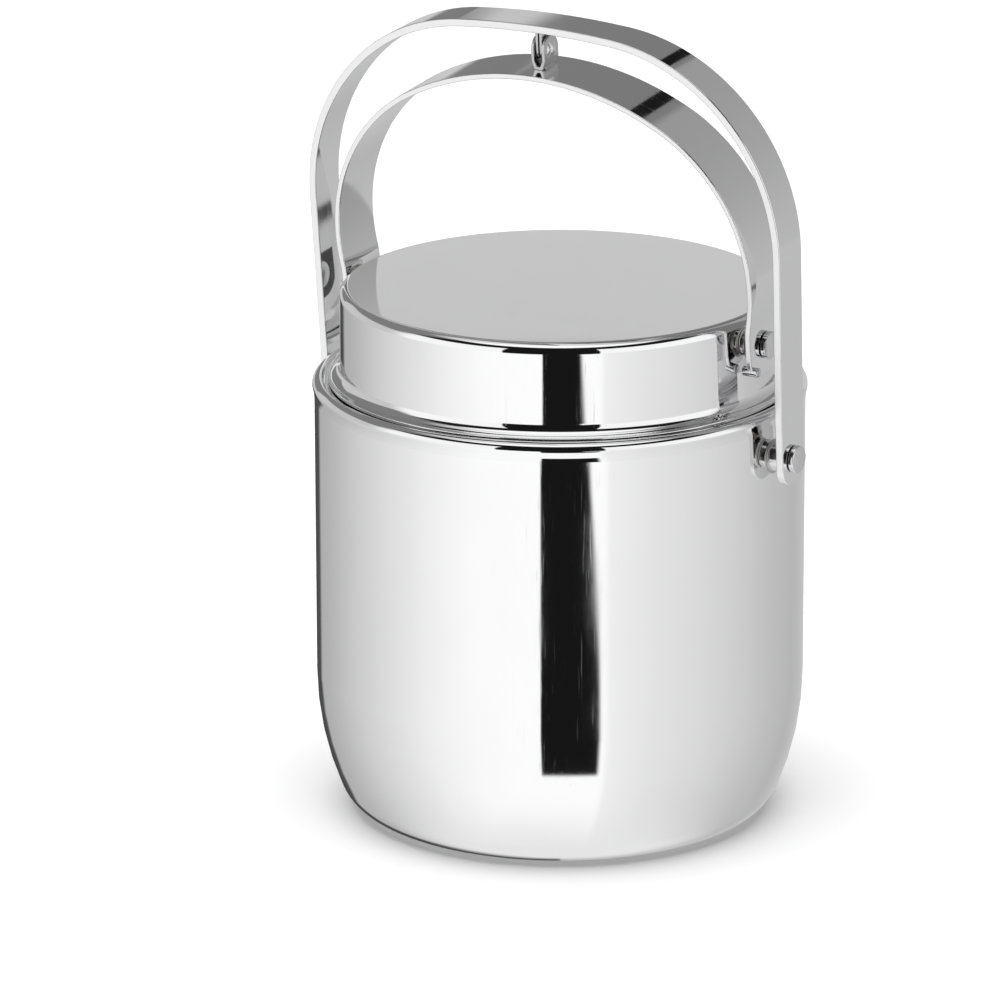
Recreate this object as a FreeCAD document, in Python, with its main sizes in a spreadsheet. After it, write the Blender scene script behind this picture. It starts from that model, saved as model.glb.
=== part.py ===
"""Ice bucket with a swing bail that lifts its lid.

A double-walled bucket carries two flat-strip bails. The outer one turns on
studs on the bucket, the inner one on studs on the lid, and a riveted hinge at
the top joins them, so that swinging the outer bail forward raises the lid.

Millimetres, +Z up, +X towards the right-hand studs, -Y the side that the
bails swing to. The origin is at the centre of the base.
"""
import FreeCAD
import Part
import Sketcher

import math
import os

DOC = FreeCAD.newDocument("IceBucket")
VECTOR = FreeCAD.Vector

# ---------------------------------------------------------------- sizes
SIZES = {
    # outer shell
    "shell_radius": 72.5,
    "shell_wall": 0.8,
    "shell_height": 130.1,
    "corner_height": 42.0,
    "corner_side_arc": 90.0,
    "corner_base_arc": 12.0,
    "base_recess": 1.6,
    "base_ring_width": 7.0,
    "base_ring_slope": 2.0,
    # inner liner and its rolled rim
    "insulation_gap": 5.9,
    "liner_wall": 0.8,
    "liner_floor_height": 12.0,
    "liner_floor_round": 12.0,
    "mouth_round": 0.9,
    "bead_rise": 1.2,
    "bead_skin": 0.6,
    "bead_slope": 0.5,
    "bead_round": 2.2,
    "bead_flat": 0.5,
    "bead_flare": 9.3,
    "bead_foot_skin": 0.1,
    "bead_inner_round": 0.45,
    # lid
    "lid_wall": 0.8,
    "lid_wall_height": 26.8,
    "lid_crown_rise": 1.3,
    "lid_edge_round": 2.9,
    "lid_flange_thickness": 1.2,
    "flange_clearance": 1.3,
    "flange_flat": 0.7,
    "lid_seat_gap": 0.4,
    "plug_clearance": 1.5,
    "pan_step": 0.6,
    "plug_depth": 4.6,
    "plug_wall": 0.8,
    "plug_round": 2.0,
    "plug_collar": 4.0,
    "plug_overlap": 7.0,
    # outer bail
    "outer_strip_width": 13.2,
    "outer_strip_thickness": 2.3,
    "outer_leg_gap": 4.1,
    "outer_leg_drop": 7.6,
    "outer_leg_round": 5.5,
    "outer_straight": 14.0,
    "outer_bend": 280.0,
    "outer_flare": 1.1,
    "outer_least_flare": 20.0,
    "outer_crown_half": 19.8,
    "outer_crown_depth": 0.9,
    "outer_rise": 122.6,
    "outer_pivot_drop": 12.1,
    "bail_lean": 4.4,
    # inner bail
    "inner_strip_width": 19.2,
    "inner_strip_thickness": 1.6,
    "inner_leg_gap": 2.9,
    "inner_leg_drop": 8.6,
    "inner_leg_round": 6.5,
    "inner_straight": 4.5,
    "inner_bend": 20.0,
    "inner_flare": 9.0,
    "inner_least_flare": 3.0,
    "inner_crown_half": 15.0,
    "inner_crown_depth": 4.2,
    "inner_pivot_drop": 8.2,
    "strip_edge_round": 0.35,
    # studs at the four leg pivots
    "pin_radius": 2.0,
    "pin_clearance": 0.05,
    "boss_radius": 4.5,
    "washer_radius": 4.2,
    "washer_thickness": 0.5,
    "leg_clearance": 0.3,
    "head_radius": 4.1,
    "head_thickness": 1.7,
    "head_round": 0.4,
    # stop pins in the lower front corners of the inner bail's legs
    "stop_radius": 1.4,
    "stop_edge": 2.1,
    "stop_foot": 2.7,
    "stop_proud": 1.6,
    "stop_inner_reach": 2.2,
    "stop_end_round": 0.5,
    # hinge between the two bails
    "hinge_below_outer": 6.35,
    "hinge_above_inner": 5.6,
    "ear_thickness": 0.9,
    "ear_half_depth": 4.0,
    "clevis_waist": 0.85,
    "clevis_bend_round": 0.6,
    "leaf_thickness": 0.8,
    "leaf_slit": 0.5,
    "leaf_clearance": 0.3,
    "leaf_half_depth": 3.2,
    "leaf_foot_half_width": 3.6,
    "foot_fit": 0.04,
    "tip_flat": 0.1,
    "link_pin_radius": 1.5,
    "link_head_radius": 2.4,
    "link_head_rise": 1.0,
}

SHEET = DOC.addObject("Spreadsheet::Sheet", "Sizes")
for row, (alias, size) in enumerate(SIZES.items(), start=1):
    SHEET.set(f"A{row}", alias)
    SHEET.set(f"B{row}", str(size))
    SHEET.setAlias(f"B{row}", alias)
DOC.recompute()


def bound(expression):
    """Return an expression on the sheet's aliases as one that any object can hold."""
    words = []
    word = ""
    for letter in expression + " ":
        if letter.isalnum() or letter == "_":
            word += letter
            continue
        words.append(f"Sizes.{word}" if word in SIZES else word)
        words.append(letter)
        word = ""
    return "".join(words).strip()


def value(expression):
    """Return the number that an expression on the sheet's aliases gives."""
    result = SHEET.evalExpression(expression)
    return float(getattr(result, "Value", result))


# ---------------------------------------------------------------- derived sizes
SIDE_ARC_X = "(shell_radius - corner_side_arc)"
ARC_STEP = "(corner_side_arc - corner_base_arc)"
BASE_RADIUS = f"({SIDE_ARC_X} + sqrt({ARC_STEP}^2 - (corner_height - corner_base_arc)^2))"

LINER_OUTER = "(shell_radius - shell_wall - insulation_gap)"
MOUTH_RADIUS = f"({LINER_OUTER} - liner_wall)"
SHOULDER = "(shell_height + liner_wall)"
FLOOR = "liner_floor_height"

FLANGE_UNDER = f"({SHOULDER} + lid_seat_gap)"
FLANGE_TOP = f"({FLANGE_UNDER} + lid_flange_thickness)"
LID_TOP_EDGE = f"({FLANGE_TOP} + lid_wall_height)"
PLUG_RADIUS = f"({MOUTH_RADIUS} - plug_clearance)"
LID_INSIDE = f"({PLUG_RADIUS} + pan_step)"
LID_RADIUS = f"({LID_INSIDE} + lid_wall)"
BEAD_OUTSIDE = "(shell_radius + bead_skin)"
BEAD_INSIDE = f"({BEAD_OUTSIDE} - bead_round - bead_flat)"
FLANGE_RADIUS = f"({BEAD_INSIDE} - bead_slope - flange_clearance)"

HANDLE_PIVOT = "(shell_height - outer_pivot_drop)"
LID_PIVOT = f"({LID_TOP_EDGE} - inner_pivot_drop)"
OUTER_SPAN = "(shell_radius + outer_leg_gap + outer_strip_thickness / 2)"
INNER_SPAN = f"({LID_RADIUS} + inner_leg_gap + inner_strip_thickness / 2)"

STOP_FRONT = "(inner_strip_width / 2 - stop_edge)"
STOP_BELOW = "(inner_leg_drop - stop_foot)"

# The hinge pin hangs below the outer bail's crown. The inner bail is as tall
# as the distance from there down to the lid's studs leaves it.
OUTER_REACH = "(outer_rise - outer_strip_thickness / 2 - hinge_below_outer)"
HINGE_FORWARD = f"({OUTER_REACH} * sin(bail_lean))"
HINGE_RISE = f"({OUTER_REACH} * cos(bail_lean) + {HANDLE_PIVOT} - {LID_PIVOT})"
INNER_REACH = f"sqrt({HINGE_FORWARD}^2 + {HINGE_RISE}^2)"
INNER_LEAN = f"atan({HINGE_FORWARD} / {HINGE_RISE})"
INNER_RISE = f"({INNER_REACH} - hinge_above_inner - inner_strip_thickness / 2)"
EAR_INSIDE = "(leaf_slit / 2 + leaf_thickness + leaf_clearance)"
EAR_OUTSIDE = f"({EAR_INSIDE} + ear_thickness)"


# ---------------------------------------------------------------- sketches
def origin_plane(body, role):
    """Return the body's own origin plane with this role."""
    return next(item for item in body.Origin.OriginFeatures if item.Role == role)


def new_body(label):
    """Add an empty body that is named for its node."""
    body = DOC.addObject("PartDesign::Body", label)
    body.Label = label
    return body


def new_sketch(body, role):
    """Add a sketch on one of the body's origin planes."""
    sketch = body.newObject("Sketcher::SketchObject", f"{body.Label}_sketch")
    sketch.AttachmentSupport = [(origin_plane(body, role), "")]
    sketch.MapMode = "FlatFace"
    return sketch


def bind(sketch, index, expression):
    """Tie a sketch's dimension to an expression."""
    sketch.setExpression(f"Constraints[{index}]", bound(expression))


def pin_vertex(sketch, edge, end, across, up):
    """Place one end of a sketch edge by two expressions."""
    for expression, axis, kind in ((across, -2, "DistanceX"), (up, -1, "DistanceY")):
        here = value(expression)
        if here == 0:
            sketch.addConstraint(Sketcher.Constraint("PointOnObject", edge, end, axis))
            continue
        index = sketch.addConstraint(Sketcher.Constraint(kind, -1, 1, edge, end, here))
        bind(sketch, index, expression)


def arc_between(start, finish, radius, turn):
    """Make the short arc from start to finish that turns left (1) or right (-1)."""
    chord = finish - start
    middle = (start + finish) * 0.5
    lift = math.sqrt(max(radius**2 - chord.Length**2 / 4, 0))
    centre = middle + VECTOR(-chord.y, chord.x, 0).normalize() * lift * turn
    first, last = (start, finish) if turn > 0 else (finish, start)
    angles = [math.atan2(point.y - centre.y, point.x - centre.x) for point in (first, last)]
    return Part.ArcOfCircle(Part.Circle(centre, VECTOR(0, 0, 1), radius), *angles)


def outline(body, role, points):
    """Sketch a closed outline on one of the body's planes.

    Each point is (across, up), and the edge to the next point is straight, or
    it is (across, up, radius, turn), and that edge is an arc.
    """
    sketch = new_sketch(body, role)
    places = [VECTOR(value(point[0]), value(point[1]), 0) for point in points]
    starts = []
    for index, point in enumerate(points):
        start = places[index]
        finish = places[(index + 1) % len(points)]
        if len(point) == 2:
            sketch.addGeometry(Part.LineSegment(start, finish), False)
            starts.append((1, 2))
            continue
        turn = point[3]
        sketch.addGeometry(arc_between(start, finish, value(point[2]), turn), False)
        starts.append((1, 2) if turn > 0 else (2, 1))
        bind(sketch, sketch.addConstraint(Sketcher.Constraint("Radius", index, value(point[2]))), point[2])
    for index, (begin, end) in enumerate(starts):
        following = (index + 1) % len(points)
        sketch.addConstraint(Sketcher.Constraint("Coincident", index, end, following, starts[following][0]))
        pin_vertex(sketch, index, begin, points[index][0], points[index][1])
    return sketch


# ---------------------------------------------------------------- features
def revolved(label, points, axis="V_Axis"):
    """Turn an outline in the XZ plane about Z (V_Axis) or X (H_Axis)."""
    body = new_body(label)
    sketch = outline(body, "XZ_Plane", points)
    turned = body.newObject("PartDesign::Revolution", f"{label}_revolution")
    turned.Profile = sketch
    turned.ReferenceAxis = (sketch, [axis])
    turned.Angle = 360
    sketch.Visibility = False
    return body


def padded(label, points, width, role="XZ_Plane"):
    """Pad an outline by a width, half to each side of its plane."""
    body = new_body(label)
    sketch = outline(body, role, points)
    pad = body.newObject("PartDesign::Pad", f"{label}_pad")
    pad.Profile = sketch
    pad.Midplane = True
    pad.setExpression("Length", bound(width))
    return body


def drilled(body, across, up, radius):
    """Drill a round hole right through a body along X."""
    sketch = new_sketch(body, "YZ_Plane")
    centre = VECTOR(value(across), value(up), 0)
    sketch.addGeometry(Part.Circle(centre, VECTOR(0, 0, 1), value(radius)), False)
    pin_vertex(sketch, 0, 3, across, up)
    bind(sketch, sketch.addConstraint(Sketcher.Constraint("Radius", 0, value(radius))), radius)
    DOC.recompute()
    before = body.Tip.Shape.Volume
    hole = body.newObject("PartDesign::Pocket", f"{body.Label}_hole")
    hole.Profile = sketch
    hole.Type = "ThroughAll"
    hole.Midplane = True
    DOC.recompute()
    if hole.Shape.Volume >= before:
        raise RuntimeError(f"the hole in {body.Label} cuts nothing")


def rounded(body, radius, wanted):
    """Round the edges of a body's tip that the test picks out."""
    DOC.recompute()
    base = body.Tip
    names = [f"Edge{number}" for number, edge in enumerate(base.Shape.Edges, 1) if wanted(edge)]
    if not names:
        raise RuntimeError(f"no edge to round on {body.Label}")
    fillet = body.newObject("PartDesign::Fillet", f"{body.Label}_round")
    fillet.Base = (base, names)
    fillet.setExpression("Radius", bound(radius))
    body.Tip = fillet
    DOC.recompute()


def ring(radius, place, axis):
    """Return a test for the round edge of this radius at this place along an axis."""
    def wanted(edge):
        if edge.Degenerated or not isinstance(edge.Curve, Part.Circle):
            return False
        fits = abs(edge.Curve.Radius - value(radius)) < 1e-4
        return fits and abs(edge.Curve.Center.dot(axis) - value(place)) < 1e-4
    return wanted


def ring_at(radius, height):
    """Return a test for the round edge about Z at this radius and height."""
    return ring(radius, height, VECTOR(0, 0, 1))


def ring_about_x(radius, along):
    """Return a test for the round edge about X at this radius and place."""
    return ring(radius, along, VECTOR(1, 0, 0))


def crosswise_at(along, up):
    """Return a test for the straight edges along X at plus or minus this depth."""
    def wanted(edge):
        box = edge.BoundBox
        depth = abs(abs(box.YMin) - value(along)) < 1e-3 and box.YLength < 1e-3
        level = abs(box.ZMin - value(up)) < 1e-3 and box.ZLength < 1e-3
        return depth and level and box.XLength > 1e-3
    return wanted


def placed(item, height, lean="0", side=1, forward="0"):
    """Put an item at a height, turned about X by its lean or about Z for the left side."""
    axis, angle = (VECTOR(1, 0, 0), value(lean)) if side > 0 else (VECTOR(0, 0, 1), 180)
    base = VECTOR(0, -value(forward), value(height))
    item.Placement = FreeCAD.Placement(base, FreeCAD.Rotation(axis, angle))
    item.setExpression("Placement.Base.z", bound(height))
    if forward != "0":
        item.setExpression("Placement.Base.y", bound(f"-{forward}"))
    if lean != "0":
        item.setExpression("Placement.Rotation.Angle", bound(lean))


SIDES = (("right", 1), ("left", -1))


# ---------------------------------------------------------------- bucket
def outer_shell():
    """Draw the shell as one sheet: base, two-arc corner and straight side."""
    def corner(inset):
        """Return where the two corner arcs meet on the outside or inside of the sheet."""
        reach = f"(corner_base_arc - {inset})"
        along = f"({BASE_RADIUS} + {reach} * ({BASE_RADIUS} - {SIDE_ARC_X}) / {ARC_STEP})"
        up = f"(corner_base_arc + {reach} * (corner_base_arc - corner_height) / {ARC_STEP})"
        return along, up

    wall = "shell_wall"
    inside = "(shell_radius - shell_wall)"
    ring = f"({BASE_RADIUS} - base_ring_width)"
    recess = f"({ring} - base_ring_slope)"
    return revolved("outer_shell", [
        ("0", "base_recess"),
        (recess, "base_recess"),
        (ring, "0"),
        (BASE_RADIUS, "0", "corner_base_arc", 1),
        (*corner("0"), "corner_side_arc", 1),
        ("shell_radius", "corner_height"),
        ("shell_radius", "shell_height"),
        (inside, "shell_height"),
        (inside, "corner_height", f"(corner_side_arc - {wall})", -1),
        (*corner(wall), f"(corner_base_arc - {wall})", -1),
        (BASE_RADIUS, wall),
        (ring, wall),
        (recess, f"(base_recess + {wall})"),
        ("0", f"(base_recess + {wall})"),
    ])


def inner_liner():
    """Draw the cup that holds the ice, with the rim rolled over the shell's edge."""
    bead_top = f"({SHOULDER} + bead_rise)"
    turn = "acos(1 - (bead_skin - bead_foot_skin) / (bead_flare + bead_round))"
    bead_foot = f"({bead_top} - bead_round - (bead_flare + bead_round) * sin({turn}))"
    joint = (f"({BEAD_OUTSIDE} - bead_round * (1 - cos({turn})))",
             f"({bead_top} - bead_round - bead_round * sin({turn}))")
    body = revolved("inner_liner", [
        ("0", f"({FLOOR} - liner_wall)"),
        (f"({LINER_OUTER} - liner_floor_round)", f"({FLOOR} - liner_wall)",
         "liner_floor_round", 1),
        (LINER_OUTER, f"({FLOOR} - liner_wall + liner_floor_round)"),
        (LINER_OUTER, "shell_height"),
        ("shell_radius", "shell_height"),
        ("shell_radius", bead_foot),
        ("(shell_radius + bead_foot_skin)", bead_foot, "bead_flare", -1),
        (*joint, "bead_round", 1),
        (f"({BEAD_OUTSIDE} - bead_round)", bead_top),
        (BEAD_INSIDE, bead_top),
        (f"({BEAD_INSIDE} - bead_slope)", SHOULDER),
        (MOUTH_RADIUS, SHOULDER),
        (MOUTH_RADIUS, f"({FLOOR} - liner_wall + liner_floor_round)",
         "(liner_floor_round - liner_wall)", -1),
        (f"({LINER_OUTER} - liner_floor_round)", FLOOR),
        ("0", FLOOR),
    ])
    rounded(body, "min(bead_inner_round; 0.9 * bead_flat)", ring_at(BEAD_INSIDE, bead_top))
    rounded(body, "mouth_round", ring_at(MOUTH_RADIUS, SHOULDER))
    return body


# ---------------------------------------------------------------- lid
def lid_shell():
    """Draw the lid's skin: crowned top, straight wall, cove and flat flange."""
    dome = f"(({LID_RADIUS}^2 + lid_crown_rise^2) / (2 * lid_crown_rise))"
    dome_inside = f"(({LID_INSIDE}^2 + lid_crown_rise^2) / (2 * lid_crown_rise))"
    cove = f"({FLANGE_RADIUS} - {LID_RADIUS} - flange_flat)"
    body = revolved("lid_shell", [
        ("0", f"({LID_TOP_EDGE} + lid_crown_rise - lid_wall)"),
        ("0", f"({LID_TOP_EDGE} + lid_crown_rise)", dome, -1),
        (LID_RADIUS, LID_TOP_EDGE),
        (LID_RADIUS, f"({FLANGE_TOP} + {cove})", cove, 1),
        (f"({LID_RADIUS} + {cove})", FLANGE_TOP),
        (FLANGE_RADIUS, FLANGE_TOP),
        (FLANGE_RADIUS, FLANGE_UNDER),
        (LID_INSIDE, FLANGE_UNDER),
        (LID_INSIDE, f"({LID_TOP_EDGE} - lid_wall)", dome_inside, 1),
    ])
    rounded(body, "lid_edge_round", ring_at(LID_RADIUS, LID_TOP_EDGE))
    rounded(body, "(lid_edge_round - lid_wall)",
            ring_at(LID_INSIDE, f"({LID_TOP_EDGE} - lid_wall)"))
    rounded(body, "lid_flange_thickness / 3", lambda edge: any(
        ring_at(FLANGE_RADIUS, level)(edge) for level in (FLANGE_TOP, FLANGE_UNDER)))
    return body


def lid_pan():
    """Draw the pan inside the lid, whose lower part sits in the bucket's mouth."""
    top = f"({FLANGE_UNDER} + plug_overlap)"
    shelf = f"({top} - plug_collar)"
    bottom = f"({SHOULDER} - plug_depth)"
    inside = f"({PLUG_RADIUS} - plug_wall)"
    body = revolved("lid_pan", [
        ("0", bottom),
        (PLUG_RADIUS, bottom),
        (PLUG_RADIUS, shelf),
        (LID_INSIDE, f"({shelf} + pan_step)"),
        (LID_INSIDE, top),
        (inside, top),
        (inside, f"({bottom} + plug_wall)"),
        ("0", f"({bottom} + plug_wall)"),
    ])
    rounded(body, "plug_round", ring_at(PLUG_RADIUS, bottom))
    rounded(body, "(plug_round - plug_wall)", ring_at(inside, f"({bottom} + plug_wall)"))
    return body


# ---------------------------------------------------------------- bails
def bail_side(name, span, rise, offset):
    """Return the right-hand half of a bail's line, from a leg's foot to the crown arc.

    The line stands off the strip's middle line by the offset. The leg is
    straight, bends outward, runs straight again and turns over the shoulder
    into the crown. The shoulder's radius follows from the crown's half width,
    or from the least straight run that the bail's rise leaves below it.
    """
    bend, flare = f"{name}_bend", f"{name}_flare"
    straight, crown_depth = f"{name}_straight", f"{name}_crown_depth"
    run = f"({rise} - {crown_depth} - {straight} - {bend} * sin({flare}))"
    by_height = f"(({run} - {name}_least_flare * cos({flare})) / (1 + sin({flare})))"
    reach = f"({span} + {bend} - {bend} * cos({flare}) - {name}_crown_half)"
    by_width = f"((cos({flare}) * {reach} + sin({flare}) * {run}) / (1 + sin({flare})))"
    shoulder = f"min({by_height}; {by_width})"
    length = f"(({run} - {shoulder} * (1 + sin({flare}))) / cos({flare}))"
    bend_x = f"({span} + {bend})"
    edge_x = f"({bend_x} - ({bend} - {offset}) * cos({flare}))"
    edge_z = f"({straight} + ({bend} - {offset}) * sin({flare}))"
    centre_x = f"({span} + {bend} - ({bend} + {shoulder}) * cos({flare}) + {length} * sin({flare}))"
    centre_z = f"({straight} + ({bend} + {shoulder}) * sin({flare}) + {length} * cos({flare}))"
    step = f"(({crown_depth}^2 + {centre_x}^2) / (2 * {crown_depth}))"
    turn = f"({shoulder} + {offset})"
    crown_z = f"({rise} - {shoulder} - {step})"
    return [
        (f"({span} + {offset})", f"(0 - {name}_leg_drop)"),
        (f"({span} + {offset})", straight, f"({bend} - {offset})", -1),
        (edge_x, edge_z),
        (f"({edge_x} + {length} * sin({flare}))", f"({edge_z} + {length} * cos({flare}))", turn, 1),
        (f"({centre_x} + {turn} * {centre_x} / {step})",
         f"({centre_z} + {turn} * ({centre_z} - {crown_z}) / {step})",
         f"({step} + {turn})", 1),
    ]


def bail_outline(name, span, rise):
    """Join the outside and the inside line of a bail into one closed outline."""
    points = []
    for offset, sense in ((f"({name}_strip_thickness / 2)", 1),
                          (f"(0 - {name}_strip_thickness / 2)", -1)):
        right = bail_side(name, span, rise, offset)
        left = [(f"(0 - {across})", up) for across, up, *arc in reversed(right)]
        arcs = [point[2:] for point in right[:-1]]
        left = [(*place, *arc) for place, arc in zip(left, [*reversed(arcs), ()])]
        line = right + left
        if sense < 0:
            places = [point[:2] for point in reversed(line)]
            bends = [(arc[0], -arc[1]) if arc else () for arc in (p[2:] for p in reversed(line[:-1]))]
            line = [(*place, *bend) for place, bend in zip(places, [*bends, ()])]
        points += line
    return points


def bail(label, name, span, rise):
    """Bend a flat strip into a bail with round leg ends and pivot holes."""
    width = f"{name}_strip_width"
    body = padded(label, bail_outline(name, span, rise), width)
    rounded(body, f"{name}_leg_round", crosswise_at(f"({width} / 2)", f"(0 - {name}_leg_drop)"))
    half = value(width) / 2
    rounded(body, "strip_edge_round", lambda edge: (
        edge.BoundBox.YLength < 1e-3 and abs(abs(edge.BoundBox.YMin) - half) < 1e-3))
    drilled(body, "0", "0", "(pin_radius + pin_clearance)")
    return body


def outer_handle():
    """Make the outer bail, which turns on the bucket's studs."""
    body = bail("outer_handle", "outer", OUTER_SPAN, "outer_rise")
    placed(body, HANDLE_PIVOT, "bail_lean")
    return body


def inner_handle():
    """Make the inner bail, which turns on the lid's studs."""
    body = bail("inner_handle", "inner", INNER_SPAN, INNER_RISE)
    drilled(body, f"(0 - {STOP_FRONT})", f"(0 - {STOP_BELOW})", "stop_radius")
    placed(body, LID_PIVOT, INNER_LEAN)
    return body


# ---------------------------------------------------------------- leg pivots
def boss(label, wall_radius, face, height, side):
    """Make a round boss, coped to the wall that it is welded to and bored for its rivet."""
    solid = DOC.addObject("Part::Cylinder", f"{label}_solid")
    bore = DOC.addObject("Part::Cylinder", f"{label}_bore")
    wall = DOC.addObject("Part::Cylinder", f"{label}_wall")
    for item, radius in ((solid, "boss_radius"), (bore, "pin_radius + pin_clearance")):
        item.setExpression("Radius", bound(radius))
        item.setExpression("Height", bound(face))
        turn = FreeCAD.Rotation(VECTOR(0, 1, 0), 90 * side)
        item.Placement = FreeCAD.Placement(VECTOR(0, 0, value(height)), turn)
        item.setExpression("Placement.Base.z", bound(height))
    wall.setExpression("Radius", bound(wall_radius))
    wall.setExpression("Height", bound(f"{height} + 2 * boss_radius"))
    coped = DOC.addObject("Part::Cut", f"{label}_coped")
    coped.Base, coped.Tool = solid, wall
    bored = DOC.addObject("Part::Cut", label)
    bored.Base, bored.Tool = coped, bore
    bored.Label = label
    return bored


def leg_pivot(name, wall_radius, leg_gap, strip, height, side, sign):
    """Make one leg pivot: boss, washer and shouldered rivet, with room for the leg."""
    leg_inside = f"({wall_radius} + {leg_gap})"
    leg_outside = f"({leg_inside} + {strip})"
    washer_face = f"({leg_inside} - leg_clearance)"
    boss_face = f"({washer_face} - washer_thickness)"
    head_face = f"({leg_outside} + leg_clearance)"
    bore = "(pin_radius + pin_clearance)"
    made = [boss(f"{side}_{name}_boss", wall_radius, boss_face, height, sign)]
    washer = revolved(f"{side}_{name}_washer", [
        (boss_face, bore),
        (boss_face, "washer_radius"),
        (washer_face, "washer_radius"),
        (washer_face, bore),
    ], "H_Axis")
    rivet = revolved(f"{side}_{name}_rivet", [
        (f"({wall_radius} + leg_clearance)", "0"),
        (f"({wall_radius} + leg_clearance)", "pin_radius"),
        (head_face, "pin_radius"),
        (head_face, "head_radius"),
        (f"({head_face} + head_thickness)", "head_radius"),
        (f"({head_face} + head_thickness)", "0"),
    ], "H_Axis")
    rounded(rivet, "head_round", ring_about_x("head_radius", f"({head_face} + head_thickness)"))
    for piece in (washer, rivet):
        placed(piece, height, side=sign)
        made.append(piece)
    return made


def stop_pin(side, sign):
    """Make the short pin through the lower front corner of one inner leg."""
    leg_inside = f"({LID_RADIUS} + inner_leg_gap)"
    start = f"({leg_inside} - stop_inner_reach)"
    finish = f"({leg_inside} + inner_strip_thickness + stop_proud)"
    pin = revolved(f"{side}_stop_pin", [
        (start, "0"),
        (start, "stop_radius"),
        (finish, "stop_radius"),
        (finish, "0"),
    ], "H_Axis")
    rounded(pin, "stop_end_round", lambda edge: any(
        ring_about_x("stop_radius", end)(edge) for end in (start, finish)))
    forward = f"({STOP_FRONT} * cos({INNER_LEAN}) - {STOP_BELOW} * sin({INNER_LEAN}))"
    drop = f"({STOP_FRONT} * sin({INNER_LEAN}) + {STOP_BELOW} * cos({INNER_LEAN}))"
    placed(pin, f"({LID_PIVOT} - {drop})", side=sign, forward=forward)
    return pin


# ---------------------------------------------------------------- top hinge
def link_tongue():
    """Make the folded tongue: a foot under the outer crown and two leaves with a slit."""
    under = "(outer_rise - outer_strip_thickness / 2 - foot_fit)"
    fold = f"({under} - leaf_thickness)"
    tip = f"({OUTER_REACH} - leaf_half_depth)"
    half = "(leaf_slit / 2 + leaf_thickness)"
    body = padded("link_tongue", [
        ("(0 - leaf_foot_half_width)", fold),
        (f"(0 - {half})", fold),
        (f"(0 - {half})", tip),
        ("(0 - leaf_slit / 2)", tip),
        ("(0 - leaf_slit / 2)", fold),
        ("(leaf_slit / 2)", fold),
        ("(leaf_slit / 2)", tip),
        (half, tip),
        (half, fold),
        ("leaf_foot_half_width", fold),
        ("leaf_foot_half_width", under),
        ("(0 - leaf_foot_half_width)", under),
    ], "(2 * leaf_half_depth)")
    rounded(body, "(leaf_half_depth - tip_flat)", crosswise_at("leaf_half_depth", tip))
    drilled(body, "0", OUTER_REACH, "(link_pin_radius + pin_clearance)")
    placed(body, HANDLE_PIVOT, "bail_lean")
    return body


def link_clevis():
    """Make the folded clevis on the inner crown, with an ear to each side of the tongue."""
    under = f"({INNER_RISE} + inner_strip_thickness / 2)"
    tip = f"({INNER_REACH} + ear_half_depth)"
    waist = f"({INNER_REACH} - leaf_half_depth + leaf_clearance)"
    right = [
        (f"({EAR_OUTSIDE} - clevis_waist)", under),
        (EAR_OUTSIDE, waist),
        (EAR_OUTSIDE, tip),
        (EAR_INSIDE, tip),
        (EAR_INSIDE, waist),
        (f"({EAR_INSIDE} - clevis_waist)", f"({under} + ear_thickness)"),
    ]
    left = [(f"(0 - {across})", up) for across, up in reversed(right)]
    body = padded("link_clevis", right + left, "(2 * ear_half_depth)")
    rounded(body, "(ear_half_depth - tip_flat)", crosswise_at("ear_half_depth", tip))
    rounded(body, "clevis_bend_round", lambda edge: (
        edge.BoundBox.XLength < 1e-3 and edge.BoundBox.ZLength < 1e-3
        and abs(edge.BoundBox.ZMin - value(under)) < 1e-3))
    drilled(body, "0", INNER_REACH, "link_pin_radius")
    placed(body, LID_PIVOT, INNER_LEAN)
    return body


def link_rivet():
    """Make the rivet with two domed heads that the two bails turn on."""
    dome = "((link_head_radius^2 + link_head_rise^2) / (2 * link_head_rise))"
    body = revolved("link_rivet", [
        (f"(0 - {EAR_OUTSIDE} - link_head_rise)", "0", dome, -1),
        (f"(0 - {EAR_OUTSIDE})", "link_head_radius"),
        (f"(0 - {EAR_OUTSIDE})", "link_pin_radius"),
        (EAR_OUTSIDE, "link_pin_radius"),
        (EAR_OUTSIDE, "link_head_radius", dome, -1),
        (f"({EAR_OUTSIDE} + link_head_rise)", "0"),
    ], "H_Axis")
    placed(body, f"({LID_PIVOT} + {HINGE_RISE})", forward=HINGE_FORWARD)
    return body


# ---------------------------------------------------------------- assembly
def build():
    """Make every piece of the bucket and return them."""
    pieces = [
        outer_shell(), inner_liner(), lid_shell(), lid_pan(),
        outer_handle(), inner_handle(),
        link_tongue(), link_clevis(), link_rivet(),
    ]
    for side, sign in SIDES:
        pieces += leg_pivot("handle", "shell_radius", "outer_leg_gap",
                            "outer_strip_thickness", HANDLE_PIVOT, side, sign)
        pieces += leg_pivot("lid", LID_RADIUS, "inner_leg_gap",
                            "inner_strip_thickness", LID_PIVOT, side, sign)
        pieces.append(stop_pin(side, sign))
    return pieces


def check(pieces):
    """Stop if any object failed or any piece has no valid solid."""
    for item in DOC.Objects:
        if "Invalid" in item.State or "Error" in item.State:
            raise RuntimeError(f"{item.Label} failed: {item.State}")
    for piece in pieces:
        shape = piece.Shape
        if shape.isNull() or not shape.isValid() or not shape.Solids:
            raise RuntimeError(f"{piece.Label} has no valid solid")


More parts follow.
